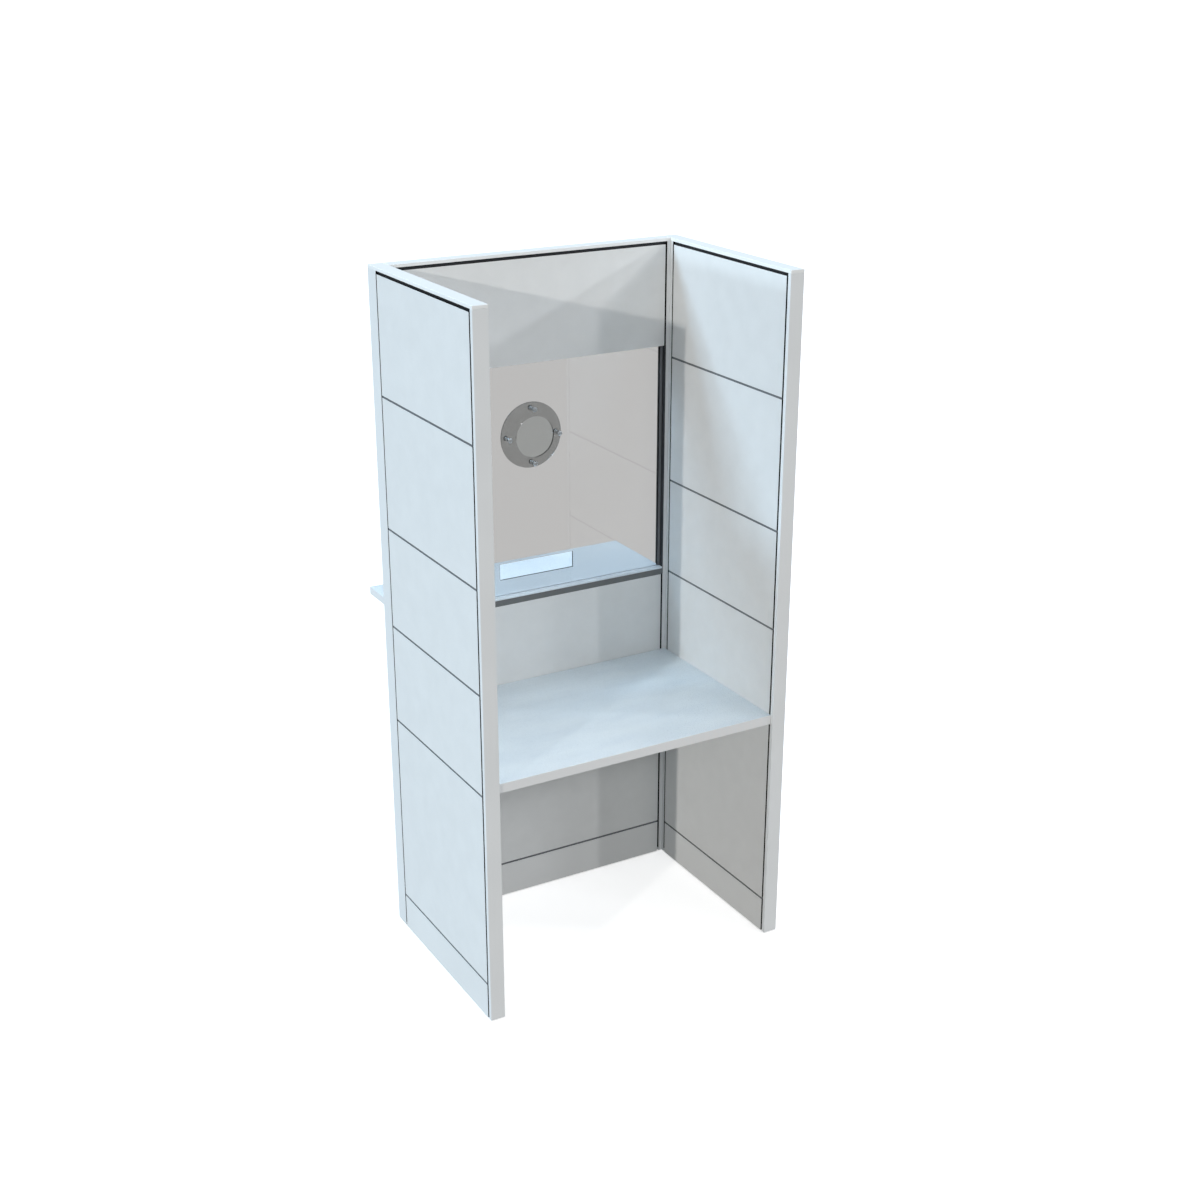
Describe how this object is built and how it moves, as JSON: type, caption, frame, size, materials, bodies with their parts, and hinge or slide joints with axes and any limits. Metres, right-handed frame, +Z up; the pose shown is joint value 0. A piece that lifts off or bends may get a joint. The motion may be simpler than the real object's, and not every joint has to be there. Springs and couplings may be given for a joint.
{
  "type": "service booth",
  "caption": "Open-fronted service booth of tiled panel walls, with a worksurface inside and a glazed window with a speak-through disc, a pass-through slot and a transaction counter.",
  "frame": {"origin": "on the floor, at the middle of the footprint (wings and counter together)", "axes": "+Z up, +Y out through the window towards the public side, +X to the right seen from inside the booth"},
  "size_m": [1.028, 0.935, 2.134],
  "materials": {
    "tile_laminate": "satin",
    "cover_paint": "satin",
    "trim_paint": "satin",
    "cap_paint": "satin",
    "frame_paint": "satin",
    "glazing_channel": "satin",
    "dark_edging": "satin",
    "board_laminate": "satin",
    "bracket_paint": "satin",
    "zinc_steel": "satin",
    "window_glass": "polished",
    "disc_acrylic": "gloss",
    "satin_hardware": "satin"
  },
  "bodies": {
    "booth": {"left_wing_frame": "frame_paint", "right_wing_frame": "frame_paint", "back_frame": "frame_paint", "left_corner_post": "trim_paint", "right_corner_post": "trim_paint", "left_end_trim": "trim_paint", "right_end_trim": "trim_paint", "panel_edge_trims": "trim_paint", "left_top_cap": "cap_paint", "right_top_cap": "cap_paint", "back_top_cap": "cap_paint", "left_outer_tile_1": "tile_laminate", "left_outer_tile_2": "tile_laminate", "left_outer_tile_3": "tile_laminate", "left_outer_tile_4": "tile_laminate", "left_outer_tile_5": "tile_laminate", "left_inner_tile_1": "tile_laminate", "left_inner_tile_2": "tile_laminate", "left_inner_tile_3": "tile_laminate", "left_inner_tile_4": "tile_laminate", "left_inner_tile_5": "tile_laminate", "right_inner_tile_1": "tile_laminate", "right_inner_tile_2": "tile_laminate", "right_inner_tile_3": "tile_laminate", "right_inner_tile_4": "tile_laminate", "right_inner_tile_5": "tile_laminate", "right_outer_tile_1": "tile_laminate", "right_outer_tile_2": "tile_laminate", "right_outer_tile_3": "tile_laminate", "right_outer_tile_4": "tile_laminate", "right_outer_tile_5": "tile_laminate", "left_outer_base_cover": "cover_paint", "left_inner_base_cover": "cover_paint", "right_inner_base_cover": "cover_paint", "right_outer_base_cover": "cover_paint", "back_room_base_cover": "cover_paint", "back_public_base_cover": "cover_paint", "back_room_tile_1": "tile_laminate", "back_room_tile_2": "tile_laminate", "back_room_header": "tile_laminate", "back_public_tile_1": "tile_laminate", "back_public_tile_2": "tile_laminate", "back_public_header": "tile_laminate", "worksurface": "board_laminate", "worksurface_brackets": "bracket_paint", "transaction_counter": "board_laminate", "counter_edging": "dark_edging", "counter_brackets": "bracket_paint", "surface_screws": "zinc_steel", "glass_pane": "window_glass", "glazing_frame": "glazing_channel", "speak_disc": "disc_acrylic", "speak_standoffs": "satin_hardware", "speak_bolts": "satin_hardware"},
    "left_front_glide": {"left_front_glide": "zinc_steel"},
    "left_rear_glide": {"left_rear_glide": "zinc_steel"},
    "right_front_glide": {"right_front_glide": "zinc_steel"},
    "right_rear_glide": {"right_rear_glide": "zinc_steel"},
    "back_left_glide": {"back_left_glide": "zinc_steel"},
    "back_right_glide": {"back_right_glide": "zinc_steel"}
  },
  "joints": [
    {"name": "left_front_glide_turn", "type": "hinge", "parent": "booth", "child": "left_front_glide", "pos_m": [-0.491, -0.4385, 0], "axis": [0, 0, 1], "continuous": true},
    {"name": "left_rear_glide_turn", "type": "hinge", "parent": "booth", "child": "left_rear_glide", "pos_m": [-0.491, 0.1355, 0], "axis": [0, 0, 1], "continuous": true},
    {"name": "right_front_glide_turn", "type": "hinge", "parent": "booth", "child": "right_front_glide", "pos_m": [0.491, -0.4385, 0], "axis": [0, 0, 1], "continuous": true},
    {"name": "right_rear_glide_turn", "type": "hinge", "parent": "booth", "child": "right_rear_glide", "pos_m": [0.491, 0.1355, 0], "axis": [0, 0, 1], "continuous": true},
    {"name": "back_left_glide_turn", "type": "hinge", "parent": "booth", "child": "back_left_glide", "pos_m": [-0.441, 0.1855, 0], "axis": [0, 0, 1], "continuous": true},
    {"name": "back_right_glide_turn", "type": "hinge", "parent": "booth", "child": "back_right_glide", "pos_m": [0.441, 0.1855, 0], "axis": [0, 0, 1], "continuous": true}
  ]
}
